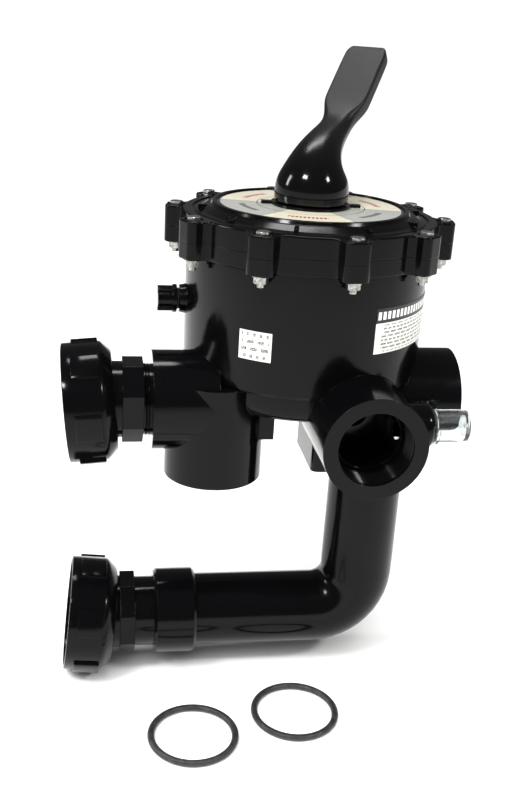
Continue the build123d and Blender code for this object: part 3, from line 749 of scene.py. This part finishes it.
# ------------------------------------------------------------------ sub-assemblies
@dataclass
class Lever:
    """The selector's lever: a glossy bell that flares from its foot into a neck and a flat grained paddle."""

    places: Places
    heel_r: float = 21.8
    lift: float = 8.0
    press: float = 38.0
    lean: float = 48.0
    slot_r: float = 9.2
    slot_half: float = 7.9
    # half width and reach of the prism that trims the foot, and reach of the slot's prism
    trim_half: float = 40.0
    trim_reach: float = 60.0
    slot_reach: float = 90.0
    # foot and neck: centre along the lean and up, tilt, width across the lever, thickness
    bell: tuple[tuple[float, float, float, float, float], ...] = (
        (0.0, -17.8, 0, 59.6, 59.6), (0.0, -16.8, 0, 60.8, 60.8), (0.0, -8.0, 0, 61.6, 61.6),
        (0.0, 0.0, 0, 59.8, 59.8), (0.6, 6.0, 4, 54.6, 54.6), (2.0, 11.5, 10, 48.4, 48.4),
        (5.5, 17.5, 20, 42.4, 42.0), (11.5, 23.0, 33, 37.0, 36.0), (20.0, 28.5, 44, 32.4, 30.0),
        (31.0, 34.0, 50, 28.6, 25.0), (42.5, 39.4, 50, 26.4, 20.5),
    )
    # paddle: height along the lever, width, thickness
    paddle: tuple[tuple[float, float, float], ...] = (
        (67.0, 27.0, 17.6), (75.0, 31.0, 15.2), (82.0, 35.4, 13.8), (88.0, 37.6, 13.2), (93.0, 38.0, 13.0),
        (112.0, 38.0, 13.0), (140.0, 38.0, 13.0), (144.6, 37.0, 13.0), (148.2, 34.6, 12.6),
        (150.6, 31.2, 11.6), (151.8, 28.0, 9.6),
    )

    def ring(self, width: float, thickness: float, radius: float, tilt: float,
             at: tuple[float, float]) -> None:
        """Adds one rounded cross-section to the open mesh.

        Args:
            width: Size across the lever, in millimetres.
            thickness: Size along the leaning direction.
            radius: Corner radius.
            tilt: Lean of the section in degrees.
            at: Its centre, along the leaning direction and up.
        """
        bpy.ops.mesh.primitive_plane_add(size=1)
        bpy.ops.transform.resize(value=(thickness * MM, width * MM, 1), center_override=(0, 0, 0))
        bpy.ops.mesh.bevel(offset=radius * MM, segments=5, affect="VERTICES", clamp_overlap=True)
        bpy.ops.transform.rotate(value=-math.radians(tilt), orient_axis="Y", orient_type="GLOBAL",
                                 center_override=(0, 0, 0))
        bpy.ops.transform.translate(value=(at[0] * MM, 0, at[1] * MM))
        bpy.ops.mesh.delete(type="ONLY_FACE")

    def cut_foot(self, piece: bpy.types.Object) -> None:
        """Trims the foot to its cam cheeks and hollows it for the stem's tongue, by boolean cuts."""
        half = math.radians(self.press / 2)
        offset = self.lift / (2 * math.sin(half))
        cam = (offset * math.cos(half), offset * math.sin(half))
        waste = [*arc(cam, self.heel_r, -90, 0, 14), (self.trim_reach, cam[1]),
                 (self.trim_reach, -self.trim_reach), (cam[0], -self.trim_reach)]
        self.prism_cut(piece, waste, self.trim_half)
        turn = math.radians(self.press)
        far = (self.slot_r * math.cos(turn) + self.slot_reach * math.sin(turn),
               self.slot_r * math.sin(turn) - self.slot_reach * math.cos(turn))
        slot = [(-self.slot_r, 0.0), (-self.slot_r, -self.slot_reach), far,
                *arc((0.0, 0.0), self.slot_r, self.press, 180, 10)[:-1]]
        self.prism_cut(piece, slot, self.slot_half)

    def prism_cut(self, piece: bpy.types.Object, outline: Outline, half: float) -> None:
        """Cuts a prism, drawn in the lever's side view, out of a piece.

        Args:
            piece: Piece to cut.
            outline: Corners of the prism in the side view, in millimetres.
            half: Half of its depth across the lever.
        """
        cutter = start_piece("cutter")
        bpy.ops.mesh.primitive_circle_add(vertices=len(outline), radius=1, fill_type="NGON")
        bpy.ops.object.mode_set(mode="OBJECT")
        for corner, (x, z) in zip(cutter.data.polygons[0].vertices, outline):
            cutter.data.vertices[corner].co = (x * MM, -half * MM, z * MM)
        bpy.ops.object.mode_set(mode="EDIT")
        bpy.ops.mesh.select_all(action="SELECT")
        bpy.ops.mesh.extrude_region_move(TRANSFORM_OT_translate={"value": (0, 2 * half * MM, 0)})
        close_piece(cutter)
        apply_modifier(piece, "BOOLEAN", object=cutter, operation="DIFFERENCE", solver="MANIFOLD")
        bpy.data.objects.remove(cutter)

    def build(self, material: bpy.types.Material) -> None:
        """Models the lever in its own frame, with the pin at the origin, and sets it in place."""
        piece = start_piece("selector_lever")
        for out, up, tilt, width, thickness in self.bell:
            self.ring(width, thickness, min(width, thickness) * 0.46, tilt, (out, up))
        lean = math.radians(self.lean)
        for height, width, thickness in self.paddle:
            radius = thickness * min(0.42, max(0.17, (94 - height) / 60))
            self.ring(width, thickness, radius, self.lean, (height * math.sin(lean), height * math.cos(lean)))
        bpy.ops.mesh.select_all(action="SELECT")
        bpy.ops.mesh.bridge_edge_loops()
        bpy.ops.mesh.select_all(action="DESELECT")
        bpy.ops.mesh.select_mode(type="EDGE")
        bpy.ops.mesh.select_non_manifold()
        bpy.ops.mesh.edge_face_add()
        bpy.ops.mesh.select_mode(type="VERT")
        close_piece(piece)
        apply_modifier(piece, "SUBSURF", levels=2, render_levels=2)
        self.cut_foot(piece)
        spin = Matrix.Rotation(self.places.lean, 4, "Z")
        apply_place(piece, Matrix.Translation(self.places.stem) @ spin)
        shade(piece, 38.0)
        finish_piece(piece, material, "handle", Slot.GRAINED_ABS, "handle")


@dataclass
class UnionNut:
    """Loose union nut: a thick ring with six raised grip pads, a coned back and a coarse inside thread."""

    node: str
    body: str
    joint: str
    length: float = 40.0
    barrel_r: float = 49.5
    pad_r: float = 52.0
    thread_r: float = 46.6
    hole_r: float = 37.0
    back_wall: float = 8.0
    pads: int = 6
    steps: int = 96
    pad_steps: int = 7
    pad_low: float = 8.0
    pad_high: float = 29.5
    phase_steps: int = 2
    thread_pitch: float = 5.0

    def outline(self) -> list[tuple[float, float]]:
        """Section of the ring from its mouth at z = 0 to its back."""
        back = self.length
        return [(self.thread_r + 0.3, 0.0), (self.barrel_r - 0.9, 0.0), (self.barrel_r - 0.25, 0.25),
                (self.barrel_r, 0.9), (self.barrel_r, self.pad_low), (self.barrel_r, self.pad_high),
                (self.barrel_r - 0.6, self.pad_high + 2.2), (self.barrel_r - 3.0, self.pad_high + 4.6),
                (self.hole_r + 4.4, back - 0.6), (self.hole_r + 3.2, back), (self.hole_r + 0.5, back),
                (self.hole_r, back - 0.6), (self.hole_r, back - self.back_wall),
                (self.thread_r, back - self.back_wall), (self.thread_r, 1.2)]

    def raise_pads(self, piece: bpy.types.Object) -> None:
        """Selects the pads' faces by their place, extrudes them outwards and bevels their rims."""
        bpy.ops.object.mode_set(mode="EDIT")
        bpy.ops.mesh.select_all(action="DESELECT")
        bpy.ops.mesh.select_mode(type="FACE")
        bpy.ops.object.mode_set(mode="OBJECT")
        every = self.steps // self.pads
        for face in piece.data.polygons:
            x, y, z = face.center
            step = int((math.degrees(math.atan2(y, x)) % 360) / 360 * self.steps)
            on_barrel = math.hypot(x, y) > (self.barrel_r - 0.3) * MM
            in_length = self.pad_low * MM < z < self.pad_high * MM
            face.select = on_barrel and in_length and (step + self.phase_steps) % every < self.pad_steps
        bpy.ops.object.mode_set(mode="EDIT")
        bpy.ops.mesh.extrude_region_shrink_fatten(
            TRANSFORM_OT_shrink_fatten={"value": (self.pad_r - self.barrel_r) * MM})
        bpy.ops.mesh.region_to_loop()
        bpy.ops.mesh.bevel(offset=0.5 * MM, segments=2, affect="EDGES")
        bpy.ops.mesh.select_mode(type="VERT")
        bpy.ops.object.mode_set(mode="OBJECT")

    def build(self, material: bpy.types.Material) -> None:
        """Models the nut about its own axis and lays it on the joint's axis."""
        joint = next(j for j in frame["joints"] if j["name"] == self.joint)
        axis = Vector(joint["axis"])
        mouth = Vector(joint["pos_m"]) + axis * (self.length / 2 * MM)
        place = facing(-axis, mouth)
        piece = spun(self.node + "_ring", self.outline(), self.steps)
        self.raise_pads(piece)
        apply_place(piece, place)
        shade(piece, 30.0)
        finish_piece(piece, material, self.body, Slot.BLACK_ABS, self.node)
        start = place @ Matrix.Translation((0, 0, 2.0 * MM))
        thread = Thread(self.node + "_thread", self.thread_r, self.thread_pitch,
                        self.length - self.back_wall - 3, 1.7).build(start)
        finish_piece(thread, material, self.body, Slot.BLACK_ABS)


@dataclass
class PortThreads:
    """Pipe threads in the open ports, and the male thread that shows beside the upper tailpiece's octagon."""

    bore_r: float = 30.0
    pitch: float = 2.2
    depth: float = 1.1
    length: float = 24.0
    lead: float = 1.0
    bottom_port: Point = (0.1162, 0.0, -0.065)
    tail_start: Point = (0.0556, 0.0, 0.0)
    tail_length: float = 6.8
    tail_r: float = 29.6
    tail_depth: float = 0.8

    def build(self, material: bpy.types.Material) -> None:
        """Cuts a thread in every open port; each threaded mount gives its place and axis."""
        ports = [(mount["name"], Vector(mount["pos_m"]), Vector(mount["axis"]))
                 for mount in frame["record"]["mounts"] if mount["kind"] == "threaded_hole"]
        ports.append(("bottom_port", Vector(self.bottom_port), Vector((0, 0, -1))))
        for name, mouth, axis in ports:
            start = facing(-axis, mouth - axis * self.lead * MM)
            piece = Thread(name + "_thread", self.bore_r, self.pitch, self.length, self.depth).build(start)
            finish_piece(piece, material, "valve", Slot.BLACK_ABS)
        male = Thread("tailpiece_thread", self.tail_r, self.pitch, self.tail_length, self.tail_depth,
                      inside=False)
        piece = male.build(facing((1, 0, 0), Vector(self.tail_start)))
        finish_piece(piece, material, "valve", Slot.BLACK_ABS)


@dataclass
class UnionRings:
    """The two loose rings of the unions, with the fine seam that their mould leaves."""

    section: float = 5.6
    seam: float = 0.16

    def build(self, material: bpy.types.Material) -> None:
        """Spins each ring's section, with its seam, round the ring's own axis."""
        for side in ("left", "right"):
            low, high = (Vector(corner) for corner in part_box("union_ring_" + side))
            centre = (low + high) / 2
            middle = (high.x - low.x) / 2 / MM - self.section / 2
            half = self.section / 2
            outline = [*arc((middle, 0), half, 6, 174, 12), (middle - half - self.seam, 0.0),
                       *arc((middle, 0), half, 186, 354, 12), (middle + half, 0.0)]
            piece = spun(f"union_ring_{side}_moulded", outline, 96)
            apply_place(piece, Matrix.Translation(centre))
            shade(piece, 50.0)
            finish_piece(piece, material, "ring_" + side, Slot.RUBBER, "union_ring_" + side)


class Dressing:
    """Finishes of the CAD nodes that stay."""

    def dress(self, material: bpy.types.Material, nodes: Iterable[str]) -> None:
        """Puts one finish on several nodes.

        Args:
            material: The finish.
            nodes: Names of the CAD nodes.
        """
        for name in nodes:
            node = frame["nodes"][name]
            node.data.materials.clear()
            node.data.materials.append(material)
            log.info("%s: %s", name, material.name)


# ------------------------------------------------------------------ studio
@dataclass
class Studio:
    """Pale floor, soft light and the camera."""

    places: Places
    eye: Point = (0.01315, -0.79447, 0.3009)
    forward: Point = (0.16260, 0.92240, -0.35040)
    level: Point = (0.98481, -0.17365, 0.0)
    roll: float = 3.56
    lens: float = 45.82
    glow: float = 0.14
    overhead: float = 3.9

    def floor(self) -> None:
        """Lays a large pale floor under the rings."""
        deselect()
        bpy.ops.mesh.primitive_plane_add(size=90, location=(0.2, 0.6, self.places.ground - 0.0004))
        floor = bpy.context.active_object
        floor.name = "studio_floor"
        material, tree, shader, place = new_material("studio_paper_pale")
        cloud = grit(tree, place, 400.0, 2.0)
        shade_colour = ramp(tree, cloud, [(0.3, linear("F2F2F1")), (0.7, linear("F8F8F7"))])
        tree.links.new(shade_colour, shader.inputs["Base Color"])
        shader.inputs["Roughness"].default_value = 0.9
        shader.inputs["Specular IOR Level"].default_value = 0.1
        floor.data.materials.append(material)

    def softbox(self, name: str, at: Point, size: tuple[float, float], power: float) -> None:
        """Hangs a rectangular soft light that looks at the valve's middle.

        Args:
            name: Name of the light.
            at: Its place.
            size: Width and height.
            power: Watts.
        """
        lamp = bpy.data.lights.new(name, "AREA")
        lamp.shape = "RECTANGLE"
        lamp.size, lamp.size_y = size
        lamp.energy = power
        holder = bpy.data.objects.new(name, lamp)
        bpy.context.scene.collection.objects.link(holder)
        target = Vector((0.17, 0.0, -0.05))
        holder.location = at
        holder.rotation_euler = (target - Vector(at)).to_track_quat("-Z", "Y").to_euler()

    def light(self) -> None:
        """Sets the soft lights and the surroundings, which are dimmer for the valve than for the camera."""
        world = bpy.data.worlds.new("studio_white")
        world.use_nodes = True
        tree = world.node_tree
        seen = add(tree, "LightPath").outputs["Is Camera Ray"]
        strength = add(tree, "MapRange", Value=seen, To_Min=self.glow, To_Max=1.05).outputs[0]
        tree.nodes["Background"].inputs["Color"].default_value = (1, 1, 1, 1)
        tree.links.new(strength, tree.nodes["Background"].inputs["Strength"])
        bpy.context.scene.world = world
        sun = bpy.data.lights.new("overhead", "SUN")
        sun.energy = self.overhead
        sun.angle = math.radians(50)
        holder = bpy.data.objects.new("overhead", sun)
        bpy.context.scene.collection.objects.link(holder)
        holder.rotation_euler = (math.radians(28), math.radians(-14), 0)
        # the overhead light whitens the floor only; the softboxes make the highlights
        holder.visible_glossy = False
        self.softbox("key", (-0.9, -1.1, 1.5), (0.3, 0.22), 20.0)
        self.softbox("fill", (1.2, -0.9, 1.1), (0.24, 0.2), 13.0)
        self.softbox("side", (-1.3, 0.1, 0.7), (0.2, 0.6), 11.0)
        self.softbox("top", (0.1, 0.5, 1.6), (0.9, 0.3), 15.0)

    def camera(self) -> None:
        """Sets the camera at the valve's viewing angle."""
        data = bpy.data.cameras.new("camera")
        data.lens = self.lens
        data.sensor_width = 36.0
        data.clip_start, data.clip_end = 0.05, 30.0
        holder = bpy.data.objects.new("camera", data)
        bpy.context.scene.collection.objects.link(holder)
        ahead = Vector(self.forward).normalized()
        side = Vector(self.level).normalized()
        up = side.cross(ahead)
        cr, sr = math.cos(math.radians(self.roll)), math.sin(math.radians(self.roll))
        right, above = cr * side + sr * up, cr * up - sr * side
        turn = Matrix((right, above, -ahead)).transposed().to_4x4()
        holder.matrix_world = Matrix.Translation(self.eye) @ turn
        bpy.context.scene.camera = holder

    def build(self) -> None:
        """Sets up floor, light and camera."""
        self.floor()
        self.light()
        self.camera()
        view = bpy.context.scene.view_settings
        view.view_transform = "Standard"


def main() -> None:
    """Builds the finishes and the sub-assemblies in order."""
    places = Places.from_frame()
    gloss = GlossMoulding().material()
    rubber = MouldedRubber().material()
    steel = TurnedSteel().material()
    Lever(places).build(GrainedMoulding(foot_z=places.pin_z + 0.012).material())
    UnionNut("upper_union_nut", "upper_nut", "upper_nut_turn").build(gloss)
    UnionNut("lower_union_nut", "lower_nut", "lower_nut_turn", phase_steps=9).build(gloss)
    PortThreads().build(gloss)
    UnionRings().build(rubber)
    dressing = Dressing()
    dressing.dress(gloss, ("valve_body", "cover", "pointer_plate", "upper_tailpiece", "lower_pipe",
                           "pipe_collar", "lower_tailpiece", "gauge_plug"))
    dressing.dress(steel, ("cover_bolts", "top_washers", "bottom_washers", "cover_nuts", "rotor_spring",
                           "handle_pin"))
    dressing.dress(rubber, ("cover_o_ring", "stem_o_rings", "spider_gasket", "gauge_plug_o_ring",
                            "sight_glass_o_ring"))
    dressing.dress(ClearMoulding().material(), ("sight_glass",))
    noryl = SatinPlastic("glass_filled_noryl_moulded", "1E1E20", "2C2C2F").material()
    dressing.dress(noryl, ("stem", "rotor"))
    dressing.dress(SatinPlastic("acetal_turned", "D9D7CE", "ECEAE3").material(), ("slip_washer",))
    dressing.dress(PrintedDial(places.stem).material(), ("position_dial",))
    dressing.dress(PrintedLabel("serial_label", places.stem, 3, 9.0).material(), ("serial_label",))
    notice = PrintedLabel("notice_label", places.stem, 7, 8.0, header=0.32, header_marks=5.0)
    dressing.dress(notice.material(), ("notice_label",))
    Studio(places).build()


if __name__ == "__main__":
    main()
